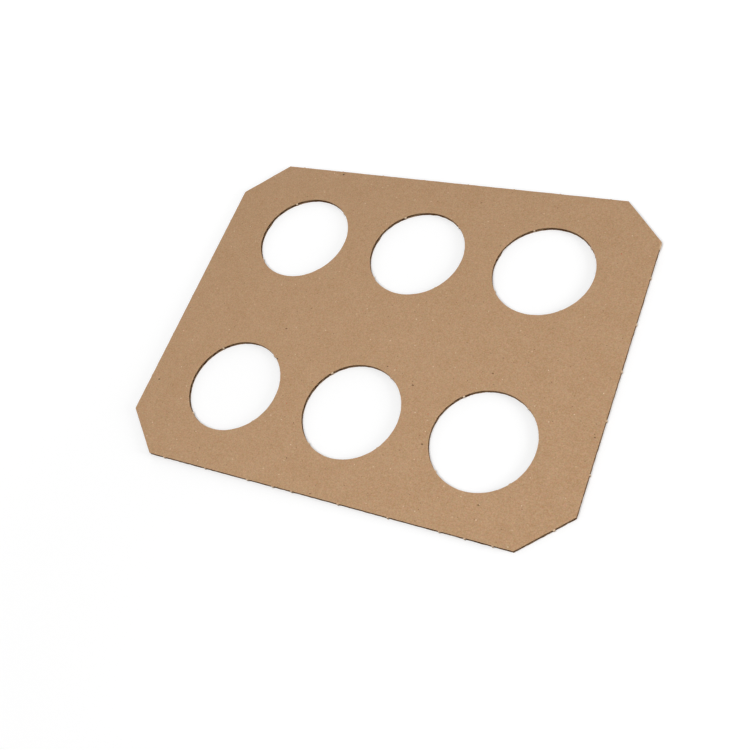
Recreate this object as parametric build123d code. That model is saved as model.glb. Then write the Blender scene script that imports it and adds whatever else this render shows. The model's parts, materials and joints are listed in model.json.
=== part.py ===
from build123d import *
from build123d.topology import SkipClean
import math
import os

# Flat cup carrier: one die-cut sheet of single-wall corrugated card, lying on its lower face.
# X runs along the flutes and the rows of cup holes, Y across the flutes, and Z up through the card.
# The origin is the middle of the lower face. All sizes are in millimetres.

# Outline of the sheet
board_length = 314.0
board_width = 244.0
corner_cut = 28.0

# Nicks: stubs on the straight sides, where bridges held the sheet in the die until it was stripped out
nick_width = 1.2
nick_reach = 0.7
nick_pitch = 33.5
nick_margin = 11.0

# Cup holes
hole_diameter = 67.0
hole_pitch = 90.0
row_pitch = 123.0
holes_per_row = 3
row_count = 2

# Papers of the card: two flat liners with a fluted medium glued between them
board_thickness = 2.7
liner_thickness = 0.3
medium_thickness = 0.25
flute_pitch = 7.6
glue_land = 0.9

# Worked out: the slope of the medium that leaves it one thickness between neighbouring channels,
# and the bend at the foot of a channel that leaves it the same thickness on the liner
flute_height = board_thickness - 2 * liner_thickness
flank_run = flute_pitch / 2 - glue_land
flank_angle = math.acos(medium_thickness / math.hypot(flank_run, flute_height)) - math.atan2(
    flank_run, flute_height
)
half_mouth = (flute_pitch - glue_land) / 2
channel_depth = half_mouth * math.tan(flank_angle)
bend_radius = (medium_thickness - flute_height + channel_depth) / (1 / math.cos(flank_angle) - 1)


def nick_count(side):
    """How many nicks fit at their pitch between the corner cuts of a side, clear of both by the margin."""
    return int((side - 2 * (corner_cut + nick_margin)) // nick_pitch) + 1


def die_cut_outline():
    """Rectangle with its four corners cut off, nicks on its sides and the cup holes punched out."""
    blank = Rectangle(board_length, board_width)
    blank = chamfer(blank.vertices(), corner_cut)
    long_sides = GridLocations(nick_pitch, board_width, nick_count(board_length), 2)
    short_sides = GridLocations(board_length, nick_pitch, 2, nick_count(board_width))
    nicked = blank + long_sides * Rectangle(nick_width, 2 * nick_reach)
    nicked += short_sides * Rectangle(2 * nick_reach, nick_width)
    holes = GridLocations(hole_pitch, row_pitch, holes_per_row, row_count)
    return nicked - holes * Circle(hole_diameter / 2)


def flute_channel():
    """Air channel over a valley of the medium: a triangle hung from the liner, with a round foot."""
    mouth = flute_height / 2
    triangle = make_face(
        Polyline((-half_mouth, mouth), (half_mouth, mouth), (0, mouth - channel_depth), close=True)
    )
    return fillet(triangle.vertices().sort_by(Axis.Y)[0], bend_radius)


def medium_section():
    """The wave of the medium across the sheet: what the channels above and below it leave standing."""
    upper = flute_channel()
    lower = mirror(upper, about=Plane.XZ)
    across = board_width + 2 * nick_reach
    last = math.ceil(across / flute_pitch / 2)
    over_valleys = [Pos(k * flute_pitch, 0) * upper for k in range(-last, last + 1)]
    under_crests = [Pos((k + 0.5) * flute_pitch, 0) * lower for k in range(-last - 1, last + 1)]
    return Rectangle(across, flute_height) - over_valleys - under_crests


def carrier_board():
    """Liners and medium cut to one outline and bonded into one piece along the glue lines."""
    outline = die_cut_outline()
    liner = extrude(outline, liner_thickness)
    section = Plane.YZ * Pos(0, board_thickness / 2) * medium_section()
    half_run = board_length / 2 + nick_reach
    medium = extrude(section, half_run, both=True) & extrude(outline, board_thickness)
    upper_liner = Pos(0, 0, board_thickness - liner_thickness) * liner
    # each paper keeps its own cut edge, which a cleaned union would merge into one face
    with SkipClean():
        return liner + medium + upper_liner


os.makedirs("parts", exist_ok=True)
export_step(carrier_board(), "parts/carrier_board.step")
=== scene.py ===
import json
import math
import bmesh
import bpy
import numpy as np
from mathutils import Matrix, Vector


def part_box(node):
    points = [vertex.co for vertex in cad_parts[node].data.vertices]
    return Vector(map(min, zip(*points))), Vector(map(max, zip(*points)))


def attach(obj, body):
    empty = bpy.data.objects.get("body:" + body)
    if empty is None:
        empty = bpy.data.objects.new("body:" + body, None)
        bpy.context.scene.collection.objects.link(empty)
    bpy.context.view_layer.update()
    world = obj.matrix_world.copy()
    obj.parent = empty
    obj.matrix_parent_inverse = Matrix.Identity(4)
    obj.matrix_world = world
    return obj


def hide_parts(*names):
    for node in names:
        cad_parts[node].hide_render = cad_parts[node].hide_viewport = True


# Flat cup carrier die-cut from single-wall corrugated card: two kraft liners and a fluted medium.
# Shapes are worked out in millimetres in the frame's own axes and go into the meshes in metres.

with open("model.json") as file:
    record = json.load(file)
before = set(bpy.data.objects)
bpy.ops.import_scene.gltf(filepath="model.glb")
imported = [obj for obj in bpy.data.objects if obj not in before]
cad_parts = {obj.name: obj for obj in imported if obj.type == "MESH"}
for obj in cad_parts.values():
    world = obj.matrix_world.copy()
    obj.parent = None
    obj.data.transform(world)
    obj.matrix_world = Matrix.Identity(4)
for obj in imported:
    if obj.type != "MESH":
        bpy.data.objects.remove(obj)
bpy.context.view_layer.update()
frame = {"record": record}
mm = 0.001
halfLength, halfWidth, thickness = np.round(np.array(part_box("carrier_board")[1]) / mm, 6)
cupHoles = [mount for mount in frame["record"]["mounts"] if mount["kind"] == "bore"]
holeRadius = cupHoles[0]["dims"]["r_mm"]
holes = np.round(np.array([mount["pos_m"][:2] for mount in cupHoles]) / mm, 6)
holeColumns, holeRows = np.unique(holes[:, 0]), np.unique(holes[:, 1])
halfPitch = np.diff(holeColumns)[0] / 2
print("frame loaded, sheet", 2 * halfLength, "x", 2 * halfWidth, "mm with", len(holes), "holes")

card = {
    "cornerCut": 28.0,       # leg of each cut-off corner
    "linerThickness": 0.3,
    "mediumThickness": 0.25,
    "flutePitch": 7.6,
    "nickReach": 0.7,        # the nicks stand out this far from the cut sides, to the full size
    "lip": 0.05,             # rounding of a liner's cut edge
    "crush": 0.10,           # how far the knife drew the upper liner down at a cut
    "lift": 0.03,            # how far the lower liner rose there
    "crushReach": 0.9,
    "crushVary": 0.35,       # how much the crush varies along a cut, over what length and within what limits
    "crushLength": 23.0,
    "crushLimits": (0.2, 1.8),
    "crushSeed": 11,
    "washboard": 0.03,       # dip of a liner between two glue lines
    "washboardFrom": 2.0,    # the dip fades out this near a cut
    "joinWithin": 1e-4,      # points closer than this become one
    "dropBelow": 1e-5,       # shorter edges are taken out
}
cutLength, cutWidth = halfLength - card["nickReach"], halfWidth - card["nickReach"]
cornerSum = cutLength + cutWidth - card["cornerCut"]
diagonal = math.sqrt(0.5)    # both parts of a unit step square to a corner cut


# Sum of plane waves of about one length, turned and shifted at random: a smooth field of about unit size.
def unevenness(x, y, length, seed, count=9, rates=(0.6, 1.5)):
    rng = np.random.default_rng(seed)
    turn, shift = rng.uniform(0, 2 * np.pi, (2, count))
    rate = 2 * np.pi / length * rng.uniform(*rates, count)
    phase = x[..., None] * (rate * np.cos(turn)) + y[..., None] * (rate * np.sin(turn)) + shift
    return np.sin(phase).sum(-1) * math.sqrt(2 / count)


# How far inside each kind of straight cut a point is: the short sides, the long sides and the corner cuts.
def straightDistances(x, y):
    return np.stack([cutLength - abs(x), cutWidth - abs(y), (cornerSum - abs(x) - abs(y)) / math.sqrt(2)])


# How far inside the outline a point is: the least of these distances.
def outlineDistance(x, y):
    return straightDistances(x, y).min(0)


# How far outside the nearest hole's rim a point is.
def rimDistance(x, y):
    return np.hypot(x[..., None] - holes[:, 0], y[..., None] - holes[:, 1]).min(-1) - holeRadius


# How far a point is from the nearest cut, and nothing past it.
def cutDistance(x, y):
    return np.maximum(np.minimum(outlineDistance(x, y), rimDistance(x, y)), 0)


# One at a cut and nothing a few reaches inside it, a bell over the distance.
def nearCut(x, y, reach):
    return np.exp(-(cutDistance(x, y) / reach) ** 2)


# The crush of a cut varies along it, and it narrows the gap between the liners.
def crushed(x, y):
    vary = 1 + card["crushVary"] * unevenness(x, y, card["crushLength"], card["crushSeed"])
    return np.clip(vary, *card["crushLimits"]) * nearCut(x, y, card["crushReach"])


# Distances from one cut to the next: close together at both, even between.
def spread(span, closeSteps, evenCount):
    close = np.array(closeSteps)[:, None]
    even = np.linspace(0, 1, evenCount + 2)[1:-1, None]
    middle = close[-1] + even * (span - 2 * close[-1])
    return np.concatenate([close + 0 * span, middle, span - close[::-1]])


# Points, two values at each point for the finishes and the painted shade, and faces, as lists of arrays that
# are put end to end.
def putMesh(name, material, points, cutAway, paintedShadeAndPale, faces):
    points, cutAway, paintedShadeAndPale, faces = (np.concatenate(each) for each in (points, cutAway, paintedShadeAndPale, faces))
    mesh = bpy.data.meshes.new(name)
    mesh.from_pydata((points * mm).tolist(), [], faces.tolist())
    for label, values in (("cutDistance", cutAway), ("paintedShadeAndPaleShare", paintedShadeAndPale)):
        mesh.attributes.new(label, "FLOAT", "POINT").data.foreach_set("value", values.astype(np.float32))
    built = bmesh.new()
    built.from_mesh(mesh)
    bmesh.ops.remove_doubles(built, verts=built.verts, dist=card["joinWithin"] * mm)
    bmesh.ops.dissolve_degenerate(built, edges=built.edges, dist=card["dropBelow"] * mm)
    built.to_mesh(mesh)
    built.free()
    mesh.polygons.foreach_set("use_smooth", np.ones(len(mesh.polygons), bool))
    mesh.materials.append(material)
    piece = bpy.data.objects.new(name, mesh)
    bpy.context.scene.collection.objects.link(piece)
    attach(piece, "root")
    print(name, len(mesh.vertices), "points,", sum(len(p.vertices) - 2 for p in mesh.polygons), "triangles")
    return piece


# Nodes

def addNode(tree, kind, **values):
    node = tree.nodes.new("ShaderNode" + kind)
    for key, value in values.items():
        setattr(node, key, value)
    return node


def feed(tree, node, **sockets):
    for key, value in sockets.items():
        socket = node.inputs[int(key[1:])] if key[0] == "n" and key[1:].isdigit() else node.inputs[key]
        if isinstance(value, bpy.types.NodeSocket):
            tree.links.new(value, socket)
        else:
            socket.default_value = value
    return node


def math2(tree, operation, first, second, clamp=False):
    node = addNode(tree, "Math", operation=operation, use_clamp=clamp)
    return feed(tree, node, n0=first, n1=second).outputs[0]


def ramp(tree, value, low, high, toLow=0.0, toHigh=1.0):
    node = addNode(tree, "MapRange", interpolation_type="SMOOTHSTEP")
    feed(tree, node, n0=value, n1=low, n2=high, n3=toLow, n4=toHigh)
    return node.outputs[0]


def blendColour(tree, amount, first, second, kind="MIX"):
    node = addNode(tree, "Mix", data_type="RGBA", blend_type=kind)
    feed(tree, node, n0=amount, n6=first, n7=second)
    return node.outputs[2]


# The first value by its share and the second by the rest.
def weigh(tree, first, second, share):
    first = math2(tree, "MULTIPLY", first, share)
    return math2(tree, "ADD", math2(tree, "MULTIPLY", second, 1 - share), first)


def noise(tree, vector, scale, detail, roughness):
    node = addNode(tree, "TexNoise")
    feed(tree, node, Vector=vector, Scale=scale, Detail=detail, Roughness=roughness)
    return node.outputs[0]


def stretch(tree, vector, scale, turn=0.0, shift=0.0):
    node = addNode(tree, "Mapping")
    feed(tree, node, Vector=vector, Location=(shift, shift, shift), Rotation=(0, 0, turn), Scale=scale)
    return node.outputs[0]


def newGroup(name, inputs, outputs):
    group = bpy.data.node_groups.new(name, "ShaderNodeTree")
    for label, kind in inputs:
        group.interface.new_socket(label, in_out="INPUT", socket_type="NodeSocket" + kind)
    for label, kind in outputs:
        group.interface.new_socket(label, in_out="OUTPUT", socket_type="NodeSocket" + kind)
    return group, group.nodes.new("NodeGroupInput").outputs, group.nodes.new("NodeGroupOutput")


# Paper

paper = {
    "cloud": (0.07, 4.0, 0.55),   # scale to the millimetre, detail and roughness of each noise
    "coarse": (0.5, 2.0, 0.5),
    "fine": (1.25, 1.0, 0.6),
    "fineTone": 0.85,        # share of the fine noise in the grain's tone, where the rest is coarse
    "fineHeight": 0.6,       # and in its height
    "fibreScale": 0.8,
    "fibreShift": 57.0,
    "roughness": (0.3, 0.7, 0.82, 0.95),   # range of the fine noise, and the roughness over it
    "smallestFleck": 0.4,    # of the largest of its kind
    "fleckEdge": 0.1,        # softness of a fleck's edge in millimetres
    "fleckShift": 17.0,      # between the patterns of two kinds
    "relief": 0.06,          # height of the bumps in millimetres
}


# Dots in some cells of a flat cell pattern: a cell's own chance picks it, and its chance again sizes the dot.
def dots(tree, vector, spacing, share, size, shift, long, turn):
    cells = addNode(tree, "TexVoronoi", feature="F1", voronoi_dimensions="2D")
    feed(tree, cells, Vector=stretch(tree, vector, (1 / long, 1, 1), turn, shift), Scale=1 / spacing)
    chance = addNode(tree, "SeparateColor")
    feed(tree, chance, n0=cells.outputs["Color"])
    radius = ramp(tree, chance.outputs[0], 1 - share, 1.0, paper["smallestFleck"], 1.0)
    radius = math2(tree, "MULTIPLY", radius, size / spacing)
    radius = math2(tree, "MULTIPLY", radius, math2(tree, "GREATER_THAN", chance.outputs[0], 1 - share))
    gap = math2(tree, "SUBTRACT", radius, cells.outputs["Distance"])
    return ramp(tree, gap, 0.0, paper["fleckEdge"] / spacing)


# Spacing, share of the cells, largest radius, length over width, turn, strength and colour of each kind.
flecks = (
    (12.0, 0.50, 0.44, 1.0, 0.0, 0.65, (0.80, 0.64, 0.47)),    # pale pulp
    (15.0, 0.50, 0.22, 3.2, 0.9, 0.65, (0.82, 0.68, 0.52)),    # pale fibre ends
    (17.0, 0.45, 0.22, 3.0, 2.3, 0.60, (0.80, 0.65, 0.48)),
    (8.5, 0.50, 0.44, 1.0, 0.0, 0.60, (0.15, 0.08, 0.04)),     # bark
    (42.0, 0.60, 0.62, 1.4, 1.3, 0.75, (0.12, 0.06, 0.03)),    # larger chips of it
    (75.0, 0.60, 0.68, 1.2, 0.4, 0.90, (0.06, 0.035, 0.025)),  # ink
    (85.0, 0.65, 0.50, 1.0, 0.0, 0.70, (0.50, 0.09, 0.05)),    # red print
)


# Paper of recycled pulp: slow clouds, fine grain, and pale, dark and red flecks.
def makePaperStock():
    inputs = [("Vector", "Vector"), ("Pulp", "Color"), ("Deep", "Color"), ("Cloud", "Float"),
              ("Grain", "Float"), ("Hue", "Float"), ("Fleck", "Float")]
    outputs = [("Color", "Color"), ("Height", "Float"), ("Roughness", "Float")]
    group, given, out = newGroup("paperStock", inputs, outputs)
    vector = given["Vector"]
    cloud, coarse, fine = (noise(group, vector, *paper[key]) for key in ("cloud", "coarse", "fine"))
    tone = math2(group, "MULTIPLY", math2(group, "SUBTRACT", cloud, 0.5), given["Cloud"])
    speckle = weigh(group, fine, coarse, paper["fineTone"])
    speckle = math2(group, "MULTIPLY", math2(group, "SUBTRACT", speckle, 0.5), given["Grain"])
    amount = math2(group, "ADD", math2(group, "ADD", tone, speckle), 0.5, clamp=True)
    colour = blendColour(group, amount, given["Deep"], given["Pulp"])
    fibres = addNode(group, "TexNoise")
    shifted = stretch(group, vector, (1, 1, 1), shift=paper["fibreShift"])
    feed(group, fibres, Vector=shifted, Scale=paper["fibreScale"], Detail=1.0)
    colour = blendColour(group, given["Hue"], colour, fibres.outputs["Color"], "OVERLAY")
    for number, (spacing, share, size, long, turn, strength, fleck) in enumerate(flecks):
        shift = paper["fleckShift"] * (number + 1)
        mask = dots(group, vector, spacing, share, size, shift, long, turn)
        strength = math2(group, "MULTIPLY", math2(group, "MULTIPLY", mask, given["Fleck"]), strength)
        colour = blendColour(group, strength, colour, fleck + (1,))
    height = weigh(group, fine, coarse, paper["fineHeight"])
    rough = ramp(group, fine, *paper["roughness"])
    feed(group, out, Color=colour, Height=height, Roughness=rough)
    return group


cutFinish = {
    "patches": (0.8, 3.0, 0.6),   # scale to the millimetre, detail and roughness of each noise
    "threads": (4.0, 2.0, 0.6),
    "fuzzAndShadeReach": (0.3, 0.75, 0.3, 1.7),   # range of the patches, and how far the fuzz and painted shade reach over it
    "fuzzAndShadeAmount": (0.3, 0.6, 0.4, 1.0),   # range of the threads, and how strong the fuzz and painted shade are over it
    "edge": 0.05,            # the cut itself shows within this of the edge
    "plain": 0.65,           # share of its own colour in the cut, where the rest is threads
}


# Wear along the cuts: fuzz within a short way of the edge, broken up by fine noise, and the cut itself. On
# the lower liner the fuzz is dark brown painted shade.
def makeCutWearAndShade():
    inputs = [("Vector", "Vector"), ("Color", "Color"), ("Distance", "Float"), ("Fuzz", "Color"),
              ("Cut", "Color"), ("Reach", "Float"), ("Amount", "Float")]
    group, given, out = newGroup("cutWearAndShade", inputs, [("Color", "Color"), ("Height", "Float")])
    patchy = noise(group, given["Vector"], *cutFinish["patches"])
    frayed = noise(group, given["Vector"], *cutFinish["threads"])
    reach = math2(group, "MULTIPLY", ramp(group, patchy, *cutFinish["fuzzAndShadeReach"]), given["Reach"])
    near = math2(group, "SUBTRACT", 1.0, math2(group, "DIVIDE", given["Distance"], reach), clamp=True)
    mask = math2(group, "MULTIPLY", near, ramp(group, frayed, *cutFinish["fuzzAndShadeAmount"]))
    mask = math2(group, "MULTIPLY", mask, given["Amount"])
    colour = blendColour(group, mask, given["Color"], given["Fuzz"])
    onCut = ramp(group, given["Distance"], 0.0, cutFinish["edge"], 1.0, 0.0)
    sawn = blendColour(group, frayed, given["Cut"], given["Color"])
    colour = blendColour(group, onCut, colour, blendColour(group, cutFinish["plain"], sawn, given["Cut"]))
    feed(group, out, Color=colour, Height=math2(group, "MULTIPLY", frayed, near))
    return group


paperStock, cutWearAndShade = makePaperStock(), makeCutWearAndShade()


def makePaper(name, look):
    material = bpy.data.materials.new(name)
    material.use_nodes = True
    tree = material.node_tree
    shader = tree.nodes["Principled BSDF"]
    place = addNode(tree, "TexCoord")
    vector = addNode(tree, "VectorMath", operation="SCALE")
    feed(tree, vector, Vector=place.outputs["Object"], Scale=1 / mm)
    vector = stretch(tree, vector.outputs[0], (1, 1, 1), shift=look["shift"])
    stock = addNode(tree, "Group", node_tree=paperStock)
    feed(tree, stock, Vector=vector, Pulp=look["pulp"] + (1,), Deep=look["deep"] + (1,),
         Cloud=look["cloud"], Grain=look["grain"], Hue=look["hue"], Fleck=look["fleck"])
    # The tint is painted shade on the liners' glued sides and on the medium along the long sides, and the
    # real paler tear of the stubs in the holes.
    paintedShadeAndPale = addNode(tree, "Attribute", attribute_name="paintedShadeAndPaleShare")
    colour = blendColour(tree, paintedShadeAndPale.outputs["Fac"], stock.outputs["Color"],
                         blendColour(tree, 1.0, stock.outputs["Color"], look["paintedShadeAndPale"] + (1,), "MULTIPLY"))
    inside = addNode(tree, "Attribute", attribute_name="cutDistance")
    wearAndShade = addNode(tree, "Group", node_tree=cutWearAndShade)
    feed(tree, wearAndShade, Vector=vector, Color=colour, Distance=inside.outputs["Fac"],
         Fuzz=look["fuzz"] + (1,), Cut=look["cut"] + (1,), Reach=look["fuzzAndShadeReach"], Amount=look["fuzzAndShadeAmount"])
    bump = addNode(tree, "Bump")
    height = math2(tree, "ADD", stock.outputs["Height"], wearAndShade.outputs["Height"])
    feed(tree, bump, Strength=look["bump"], Distance=paper["relief"] * mm, Height=height)
    feed(tree, shader, **{"Base Color": wearAndShade.outputs["Color"], "Roughness": stock.outputs["Roughness"],
                          "Normal": bump.outputs[0], "Specular IOR Level": look["gloss"]})
    return material


linerLook = {
    "pulp": (0.570, 0.382, 0.241),
    "deep": (0.340, 0.180, 0.072),
    "paintedShadeAndPale": (0.11, 0.07, 0.05),    # painted shade: darkens the side that is glued to the medium, inside the flutes
    "cloud": 0.2, "grain": 1.15, "hue": 0.12, "fleck": 1.0, "shift": 0.0,
    "fuzz": (0.56, 0.38, 0.24), "fuzzAndShadeReach": 0.4, "fuzzAndShadeAmount": 0.35, "cut": (0.46, 0.275, 0.140),
    "bump": 0.2, "gloss": 0.2,
}
kraftLiner = makePaper("kraftLiner", linerLook)
# Painted shade: the lower liner's glued side is darkened with a tint of its own.
innerKraft = makePaper("innerKraft", linerLook | {
    # Painted shade: the lower liner's fuzz near the cuts is dark brown.
    "paintedShadeAndPale": (0.24, 0.16, 0.10), "shift": 311.0, "fuzz": (0.30, 0.19, 0.11), "fuzzAndShadeAmount": 0.2})

# The medium's own kraft brown, made far darker than the liners' as painted shade of the flute channels.
mediumLook = {
    "pulp": (0.190, 0.108, 0.052),
    "deep": (0.120, 0.064, 0.028),
    "paintedShadeAndPale": (0.16, 0.14, 0.13),    # painted shade: darkens it along the long sides
    "cloud": 0.7, "grain": 2.5, "hue": 0.12, "fleck": 0.6, "shift": 149.0,
    "fuzz": (0.36, 0.22, 0.12), "fuzzAndShadeReach": 0.3, "fuzzAndShadeAmount": 0.6, "cut": (0.44, 0.280, 0.155),
    "bump": 0.4, "gloss": 0.2,
}
flutingKraft = makePaper("flutingKraft", mediumLook)

nickLook = {
    "pulp": (0.680, 0.490, 0.330),
    "deep": (0.520, 0.350, 0.220),
    "paintedShadeAndPale": (1.30, 1.60, 1.95),    # the stubs in the holes tore paler
    "cloud": 0.6, "grain": 2.5, "hue": 0.12, "fleck": 0.3, "shift": 71.0,
    "fuzz": (0.69, 0.52, 0.36), "fuzzAndShadeReach": 0.4, "fuzzAndShadeAmount": 0.3, "cut": (0.63, 0.46, 0.31),
    "bump": 0.6, "gloss": 0.15,
}
tornKraft = makePaper("tornKraft", nickLook)
print("paper finishes made")


# Liners

liner = {
    "turnSteps": 60,         # even steps in a quarter turn round a hole
    "closeSteps": (0.0, 0.015, 0.05, 0.18, 0.5, 1.0, 2.0),   # rings near a cut
    "outerRings": 22,        # even rings between, on the outer face
    "innerRings": 4,         # and on the glued one
    "ragUpper": 0.035,       # unevenness of the cut, from the side that the knife went in
    "ragLower": 0.07,        # and where it came out
    "ragReach": 0.8,
    "ragMost": 0.3,          # outwards at the outline
    "wander": ((0.7, 7.0), (0.5, 1.9)),   # share and length of each field that makes it uneven
    "seedUpper": 21,
    "seedLower": 31,
    "slipTurns": (120.0, 159.0, 166.0, 186.0),   # degrees: where the knife slipped at the back row's feet
    "slip": (0.0, 0.6, -0.25, 0.0),   # under the rim, and out from it as a burr
}


# Directions round a hole: even steps of a quarter turn and the directions of the corners of a hole's own
# part of the sheet, mirrored into the other three quarters, so that neighbouring parts share their points.
def holeTurns():
    side, end = cutLength - holeColumns[-1], cutWidth - holeRows[-1]
    corners = [(halfPitch, holeRows[-1]), (halfPitch, end), (side, holeRows[-1]),
               (side, cornerSum - cutLength - holeRows[-1]), (cornerSum - cutWidth - holeColumns[-1], end)]
    away = np.array(corners)
    quarter = np.append(np.linspace(0, np.pi / 2, liner["turnSteps"] + 1), np.arctan2(away[:, 1], away[:, 0]))
    full = np.concatenate([quarter, np.pi - quarter, np.pi + quarter, 2 * np.pi - quarter])
    return np.unique(np.round(full % (2 * np.pi), 10))


# Distance along each direction from a hole's middle to the border of its part of the sheet: the least over
# the border's straight sides of the side's distance divided by how squarely the direction meets it.
def partReach(turn, hole):
    normals = np.array([(1, 0), (-1, 0), (0, 1), (0, -1), (diagonal, diagonal), (diagonal, -diagonal),
                        (-diagonal, diagonal), (-diagonal, -diagonal)])
    outer = np.array([hole[0] == holeColumns[-1], hole[0] == holeColumns[0], hole[1] == holeRows[-1],
                      hole[1] == holeRows[0], True, True, True, True])
    limits = np.where(outer, [cutLength, cutLength, cutWidth, cutWidth] + 4 * [cornerSum * diagonal],
                      [hole[0] + halfPitch, halfPitch - hole[0], 0, 0] + 4 * [0])
    meets = np.stack([np.cos(turn), np.sin(turn)], -1) @ normals.T
    least = 1e-9    # a side that is met less squarely than this is out of reach
    reach = np.where(meets > least, (limits - normals @ hole) / np.maximum(meets, least), np.inf)
    return reach.min(-1), outer[reach.argmin(-1)]


# A liner: round each hole a profile runs in over the upper face to the rim and back out under it, carried
# once round, and the border's outer sides are closed by a wall. Height follows the distance to the cut.
def makeLiner(name, low, upper, material, rag, seed):
    turn = holeTurns()
    middles = turn + np.diff(np.append(turn, turn[0] + 2 * np.pi)) / 2
    points, cutAway, paintedShadeAndPale, faces, count = [], [], [], [], 0
    for hole in holes:
        reach, _ = partReach(turn, hole)
        _, onOutline = partReach(middles, hole)
        rings = [liner["outerRings"], liner["innerRings"]][::1 if upper else -1]
        over = spread(reach - holeRadius, liner["closeSteps"], rings[0])[::-1]
        under = spread(reach - holeRadius, liner["closeSteps"], rings[1])
        radius = holeRadius + np.concatenate([over, under])
        x, y = hole[0] + radius * np.cos(turn), hole[1] + radius * np.sin(turn)
        onTop = np.repeat([True, False], [len(over), len(under)])[:, None]
        z = linerHeight(x, y, onTop, low, upper)
        cutAway.append(cutDistance(x, y).ravel())
        paintedShadeAndPale.append(np.broadcast_to(onTop ^ upper, x.shape).ravel())
        cutBack = 0 if upper else rimSlip(x, y)
        x, y = raggedCut(x, y, hole, rag, cutBack, seed)
        points.append(np.stack([x, y, z], -1).reshape(-1, 3))
        rings, steps = radius.shape
        index = count + np.arange(rings * steps).reshape(rings, steps)
        nextRing, nextStep = np.roll(index, -1, 0), np.roll(index, -1, 1)
        quads = np.stack([index, nextStep, np.roll(nextRing, -1, 1), nextRing], -1)
        keep = np.ones((rings, steps), bool)
        keep[-1] = onOutline
        faces.append(quads[keep])
        count += rings * steps
    return putMesh(name, material, points, cutAway, paintedShadeAndPale, faces)


# Face height less a rounded lip at the cut and a shallow dip between the glue lines, drawn towards the
# middle of the card by the crush.
def linerHeight(x, y, onTop, low, upper):
    inside = np.minimum(cutDistance(x, y) / card["lip"], 1)
    lip = card["lip"] * (1 - np.sqrt(1 - (1 - inside) ** 2))
    wave = np.cos(2 * np.pi * y / card["flutePitch"]) * (1 if upper else -1)
    dip = card["washboard"] * (0.5 + 0.5 * wave) * (1 - nearCut(x, y, card["washboardFrom"]))
    draw = card["crush"] if upper else -card["lift"]
    inward = (dip if upper else -dip) + draw * crushed(x, y)
    face = np.where(onTop, low + card["linerThickness"] - lip, low + lip)
    return np.clip(face - inward, 0, thickness)


# How far a back-row rim is cut back at its foot: straight ramps over the direction from the hole's middle,
# and nothing in the front row.
def rimSlip(x, y):
    column = abs(x[..., None] - holeColumns).argmin(-1)
    turn = np.degrees(np.arctan2(y - holeRows[-1], x - holeColumns[column])) % 360
    return np.interp(turn, liner["slipTurns"], liner["slip"]) * (y > 0)


# The cut wanders a little: points near it move along the cut's own normal by a smooth field and a fine one.
def raggedCut(x, y, hole, rag, cutBack, seed):
    fields = (share * unevenness(x, y, length, seed + number)
              for number, (share, length) in enumerate(liner["wander"]))
    wander = rag * sum(fields)
    dx, dy = x - hole[0], y - hole[1]
    radius = np.hypot(dx, dy)
    rim = np.exp(-((radius - holeRadius) / liner["ragReach"]) ** 2) * (wander - cutBack)
    inside = straightDistances(x, y)
    edge = np.exp(-(inside.min(0) / liner["ragReach"]) ** 2) * np.minimum(wander, liner["ragMost"])
    nearest = inside.argmin(0)
    outX = np.sign(x) * np.choose(nearest, [1, 0, diagonal])
    outY = np.sign(y) * np.choose(nearest, [0, 1, diagonal])
    return x - rim * dx / radius + edge * outX, y - rim * dy / radius + edge * outY


upperLow = thickness - card["linerThickness"]
upperLiner = makeLiner("upperLiner", upperLow, True, kraftLiner, liner["ragUpper"], liner["seedUpper"])
lowerLiner = makeLiner("lowerLiner", 0.0, False, innerKraft, liner["ragLower"], liner["seedLower"])


# Fluted medium

medium = {
    "stepsPerFlute": 14,
    "rimSteps": 60,          # lines over half a hole, at even angles
    "closeSteps": (0.0, 0.25, 0.8, 2.0),
    "evenSteps": 4,
    "roundness": 0.94,       # 1 is a sharp zigzag, near 0 a sine
    "fray": 0.12,            # how far it frays at a cut, on the lines that cross a hole
    "frayLength": 2.3,
    "frayReach": 0.5,
    "frayMost": 0.2,
    "fraySeed": 41,
    "paintedShadeReach": 2.5,        # how far in from the long sides the painted shade reaches
}


# The wave: an arcsine of a sine, which is a zigzag with rounded bends, from one liner to the other.
def fluteWave(y):
    swing = (thickness - 2 * card["linerThickness"] - card["mediumThickness"]) / 2
    turn = 2 * np.pi * y / card["flutePitch"]
    sharp = medium["roundness"]
    wave = -np.arcsin(sharp * np.cos(turn)) / math.asin(sharp)
    slope = sharp * np.sin(turn) / np.sqrt(1 - (sharp * np.cos(turn)) ** 2) / math.asin(sharp)
    rise = swing * slope * 2 * np.pi / card["flutePitch"]
    half = card["mediumThickness"] / 2 * np.sqrt(1 + rise ** 2)
    return thickness / 2 + swing * wave, half


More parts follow.
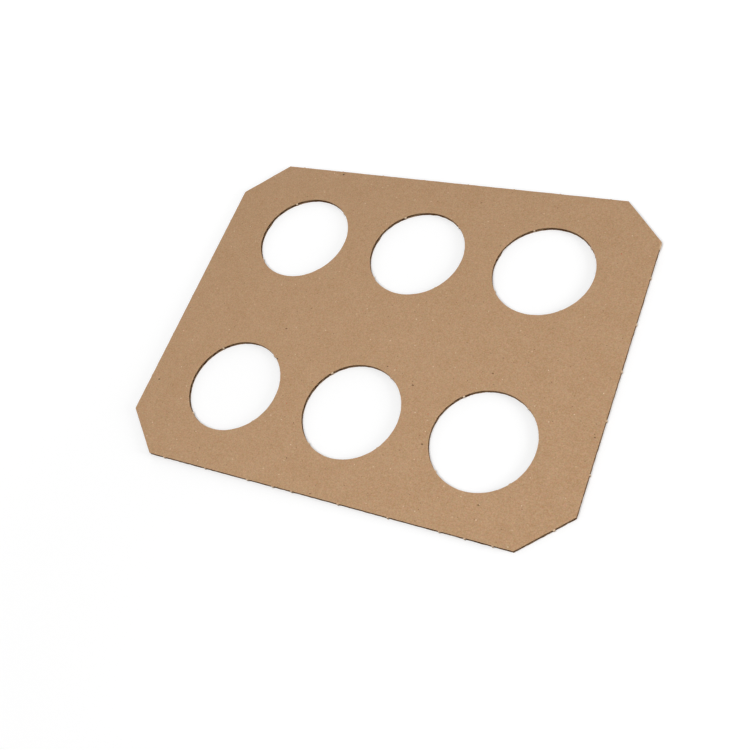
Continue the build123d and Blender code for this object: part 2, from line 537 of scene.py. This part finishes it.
# Lines along the flutes, cut into runs by the holes: each run goes over the wave from one cut to the next
# and back under it, and is carried across the sheet. Runs that meet share their points.
def makeMedium():
    flutes = np.arange(0, cutWidth, card["flutePitch"] / medium["stepsPerFlute"])
    arc = np.cos(np.linspace(0, np.pi, medium["rimSteps"] + 1)) * holeRadius
    lines = np.concatenate([flutes, -flutes, (holeRows[:, None] + arc).ravel(), [-cutWidth, cutWidth]])
    lines = np.unique(np.round(lines[abs(lines) <= cutWidth], 2))
    chord = np.sqrt(np.maximum(holeRadius ** 2 - (abs(lines) - holeRows[-1]) ** 2, 0))
    ends = np.minimum(cutLength, cornerSum - abs(lines))
    middle, half = fluteWave(lines)
    starts = [-ends] + [column + chord for column in holeColumns]
    stops = [column - chord for column in holeColumns] + [ends]
    points, cutAway, paintedShadeAndPale, faces, count = [], [], [], [], 0
    for number, (start, stop) in enumerate(zip(starts, stops)):
        along = spread(stop - start, medium["closeSteps"], medium["evenSteps"])
        steps = len(along)
        x = start + np.concatenate([along, along[::-1]])
        y = lines + 0 * x
        side = np.repeat([1, -1], steps)[:, None]
        z = mediumHeight(x, y, middle + side * half)
        cutAway.append(cutDistance(x, y).ravel())
        # Painted shade, strongest at the long sides.
        paintedShadeAndPale.append(np.exp(-((cutWidth - abs(y)) / medium["paintedShadeReach"]) ** 2).ravel())
        fray = medium["fray"] * unevenness(x, y, medium["frayLength"], medium["fraySeed"])
        fray = np.minimum(fray * nearCut(x, y, medium["frayReach"]), medium["frayMost"])
        slant = rimSlip(x, y) * (1 - z / thickness)
        x = x - slant * np.exp(-(rimDistance(x, y) / liner["ragReach"]) ** 2)
        x = x + np.where(chord > 0, fray * np.sign(x - (start + stop) / 2), 0)
        points.append(np.stack([x, y, z], -1).reshape(-1, 3))
        index = count + np.arange(x.size).reshape(x.shape)
        count += x.size
        onward = np.roll(index, -1, 0)
        quads = np.stack([index, onward, np.roll(onward, -1, 1), np.roll(index, -1, 1)], -1)[:, :-1]
        cutHere = (chord[:-1] > 0) | (chord[1:] > 0)
        keep = np.ones(quads.shape[:2], bool)
        keep[steps - 1] = True if number == len(starts) - 1 else cutHere
        keep[-1] = True if number == 0 else cutHere
        faces.append(quads[keep])
        over, under = index[:steps], index[steps:][::-1]
        for line, turned in ((0, 1), (-1, -1)):
            cap = np.stack([over[:-1, line], under[:-1, line], under[1:, line], over[1:, line]], -1)
            faces.append(cap[:, ::turned])
    return putMesh("flutedMedium", flutingKraft, points, cutAway, paintedShadeAndPale, faces)


# The wave is squeezed between the crushed liners in proportion to its height.
def mediumHeight(x, y, z):
    crush = crushed(x, y)
    low = card["linerThickness"] + card["lift"] * crush
    high = thickness - card["linerThickness"] - card["crush"] * crush
    share = (z - card["linerThickness"]) / (thickness - 2 * card["linerThickness"])
    return low + share * (high - low)


flutedMedium = makeMedium()


# Nicks: torn stubs, where bridges held the sheet in its frame and a disc in each hole

nick = {
    "spacing": 33.5,         # along a straight side
    "uneven": 0.7,           # and this much more or less
    "margin": 11.0,          # least way from a corner cut
    "strays": (-31.0, 99.5),   # two more on the front side, from its middle
    "cornerStray": 18.0,     # and one on the corner cut at the front right, along its legs
    "flap": (91.0, 3.8),     # a torn flap on the right side, from its middle, and its width in stubs
    "holeTurns": (48.0, 125.0, -47.0, -135.0),   # degrees round each hole
    "holeShifts": ((6.0, 10.5, 4.5), (-1.0, 0.0, -7.5)),   # and more, front row and back row
    "holeLow": 1.0,          # these stubs and the flap hang from the upper liner
    "halfWidth": 0.68,
    "root": 0.4,             # how far a stub goes back into the card
    "low": 0.12,
    "high": 2.53,
    "droop": 0.14,
    "lean": 0.1,             # share of its reach that a stub gains to one end and loses to the other
    "leanBack": 0.3,         # share of the stubs that lose it to the upper end
    "shorter": 0.1,          # share of the reach that chance takes off
    "widths": (0.9, 1.4),    # range of the half width, in shares of it
    "ends": (8, 0.25),       # powers that keep the girth even up to the two ends
    "squareness": 0.6,       # 1 is a round section, near 0 a square one
    "teeth": ((0.10, 2, 4, 7, True), (0.08, 4, -7, 9, True), (0.06, 9, 15, 8, False)),
    "sides": 36,
    "levels": 25,
    "seed": 5,
}


# Places on the cuts, evenly along every straight side, clear of the corner cuts, and round every hole, with a
# few strays. Each has its x and y, the way out of the card, one in a hole or else nothing, and its width.
def nickPlaces():
    rng = np.random.default_rng(nick["seed"])
    places = []
    for outX, outY in ((0, -1), (1, 0), (0, 1), (-1, 0)):
        away, side = (cutLength, cutWidth)[::1 if outX else -1]
        number = int((2 * (side - card["cornerCut"] - nick["margin"])) // nick["spacing"]) + 1
        shifts = (np.arange(number) - (number - 1) / 2) * nick["spacing"]
        shifts = shifts + rng.uniform(-nick["uneven"], nick["uneven"], number)
        if outY < 0:
            shifts = np.append(shifts, nick["strays"])
        for shift in shifts:
            x, y = outX * away + abs(outY) * shift, outY * away + abs(outX) * shift
            places.append((x, y, outX, outY, 0, 1))
    places.append((cutLength, nick["flap"][0], 1, 0, 0, nick["flap"][1]))
    for hole in holes:
        row, column = np.searchsorted(holeRows, hole[1]), np.searchsorted(holeColumns, hole[0])
        for turn in np.radians(np.array(nick["holeTurns"]) + nick["holeShifts"][row][column]):
            way = np.array([math.cos(turn), math.sin(turn)])
            places.append((*(hole + holeRadius * way), *(-way), 1, 1))
    x, y = cutLength - card["cornerCut"] + nick["cornerStray"], nick["cornerStray"] - cutWidth
    places.append((x, y, diagonal, -diagonal, 0, 1))
    return np.array(places)


# A stub: a squarish post from liner to liner, closed above and below and torn on its outer side. Its teeth
# are sines of the way round and of the height, each with its depth, its waves round and up, its share of a
# chance phase, and whether it is folded up into ridges. Its upper end droops as it goes out.
def makeNicks():
    places = nickPlaces()
    rng = np.random.default_rng(nick["seed"] + 1)
    chance = rng.uniform(0, 1, (len(places), 5, 1, 1))
    x0, y0, outX, outY, inHole, wide = (column[:, None, None] for column in places.T)
    turn = np.linspace(0, 2 * np.pi, nick["sides"], endpoint=False)
    level = np.sin(np.linspace(-np.pi / 2, np.pi / 2, nick["levels"]))[:, None]
    girth = np.maximum(1 - level ** nick["ends"][0], 0) ** nick["ends"][1]
    square = [np.sign(wave) * abs(wave) ** nick["squareness"] for wave in (np.cos(turn), np.sin(turn))]
    teeth = 1 - sum(tooth[0] for tooth in nick["teeth"])
    for number, (depth, around, up, phase, ridged) in enumerate(nick["teeth"]):
        wave = np.sin(around * turn + up * level + phase * chance[:, number])
        teeth = teeth + depth * (abs(wave) if ridged else wave)
    lean = 1 - nick["lean"] + nick["lean"] * level * np.sign(chance[:, 3] - nick["leanBack"])
    reach = card["nickReach"] * (1 - nick["shorter"] * (1 - chance[:, 2])) * lean
    narrow, broad = nick["widths"]
    halfWide = nick["halfWidth"] * wide * (narrow + (broad - narrow) * chance[:, 4])
    sideways = halfWide * girth * square[0] * teeth
    outward = girth * square[1] * np.where(square[1] > 0, reach * teeth, nick["root"])
    x = x0 + outward * outX - sideways * outY
    y = y0 + outward * outY + sideways * outX
    low = np.where(inHole + wide > 1, nick["holeLow"], nick["low"])
    z = low + (nick["high"] - low) * (0.5 + 0.5 * level) + 0 * x
    z = z - nick["droop"] * (0.5 + 0.5 * level) * np.maximum(outward / card["nickReach"], 0) ** 2
    points = np.stack([x, y, z], -1)
    index = np.arange(x.size).reshape(x.shape)
    onward = np.roll(index, -1, 2)
    quads = np.stack([index[:, 1:], onward[:, 1:], onward[:, :-1], index[:, :-1]], -1)
    paintedShadeAndPale = np.broadcast_to(inHole, x.shape).ravel()
    return putMesh("nickStubs", tornKraft, points.reshape(-1, 1, 3), np.zeros((1, x.size)), [paintedShadeAndPale],
                   quads.reshape(1, -1, 4))


nickStubs = makeNicks()
for piece in (upperLiner, flutedMedium, lowerLiner, nickStubs):
    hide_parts("carrier_board")


# Floor, light and camera, in metres

studio = {
    "floorHalf": 3.0,
    "floorGrey": 0.85,
    "floorBounce": 0.25,     # grey of the floor as it lights the card
    "floorWhite": (0.145, 0.9),   # light that the floor shows the camera on top, at its brightest and far off
    "brightest": (0.08, -0.20, 0.0),   # where the lamps light it most
    "farFrom": (0.1, 1.2),   # ways from there over which that light grows
    "ambient": 0.28,
    "lamps": {               # place, size and power
        "overhead": ((0.05, -0.27, 0.85), 0.7, 5.6),
        "side": ((1.0, 0.05, 0.22), 0.35, 4.2),
        "behind": ((-0.75, 0.65, 0.20), 0.5, 1.8),
    },
    "cameraPlace": (0.28689, -0.26795, 0.52939),
    "cameraTurn": (30.173, 18.130, 21.975),   # degrees about X, Y and Z
    "lens": 48.0,
    "sensor": 36.0,
}


# One for a ray that shows the stage: from the camera, in a gloss or through something clear.
def seenRay(tree):
    path = addNode(tree, "LightPath").outputs
    seen = math2(tree, "MAXIMUM", path["Is Camera Ray"], path["Is Glossy Ray"])
    return math2(tree, "MAXIMUM", seen, path["Is Transmission Ray"])


def makeFloor():
    half = studio["floorHalf"]
    mesh = bpy.data.meshes.new("floor")
    corners = [(-half, -half, 0), (half, -half, 0), (half, half, 0), (-half, half, 0)]
    mesh.from_pydata(corners, [], [(0, 1, 2, 3)])
    material = bpy.data.materials.new("paleFloor")
    material.use_nodes = True
    tree = material.node_tree
    seen = seenRay(tree)
    away = addNode(tree, "VectorMath", operation="DISTANCE")
    feed(tree, away, n0=addNode(tree, "TexCoord").outputs["Object"], n1=studio["brightest"])
    white = ramp(tree, away.outputs["Value"], *studio["farFrom"], *studio["floorWhite"])
    greys = [(studio[key],) * 3 + (1,) for key in ("floorBounce", "floorGrey")]
    shader = tree.nodes["Principled BSDF"]
    feed(tree, shader, **{"Base Color": blendColour(tree, seen, *greys), "Roughness": 1.0,
                          "Specular IOR Level": 0.0, "Emission Color": (1, 1, 1, 1),
                          "Emission Strength": math2(tree, "MULTIPLY", seen, white)})
    mesh.materials.append(material)
    floor = bpy.data.objects.new("floor", mesh)
    bpy.context.scene.collection.objects.link(floor)


def makeLight():
    world = bpy.data.worlds.new("studioWorld")
    world.use_nodes = True
    tree = world.node_tree
    seen = seenRay(tree)
    strength = math2(tree, "ADD", math2(tree, "MULTIPLY", seen, 1 - studio["ambient"]), studio["ambient"])
    feed(tree, tree.nodes["Background"], Color=(1, 1, 1, 1), Strength=strength)
    bpy.context.scene.world = world
    for name, (place, size, power) in studio["lamps"].items():
        lamp = bpy.data.lights.new(name, "AREA")
        lamp.shape, lamp.size, lamp.energy = "DISK", size, power
        lampObject = bpy.data.objects.new(name, lamp)
        lampObject.location = place
        toSheet = -lampObject.location
        lampObject.rotation_euler = toSheet.to_track_quat("-Z", "Y").to_euler()
        bpy.context.scene.collection.objects.link(lampObject)


def makeCamera():
    data = bpy.data.cameras.new("camera")
    data.lens, data.sensor_width = studio["lens"], studio["sensor"]
    camera = bpy.data.objects.new("camera", data)
    camera.location = studio["cameraPlace"]
    camera.rotation_euler = [math.radians(turn) for turn in studio["cameraTurn"]]
    bpy.context.scene.collection.objects.link(camera)
    bpy.context.scene.camera = camera


makeFloor()
makeLight()
makeCamera()
bpy.context.scene.view_settings.view_transform = "Standard"
print("floor, light and camera set")

bpy.context.view_layer.update()
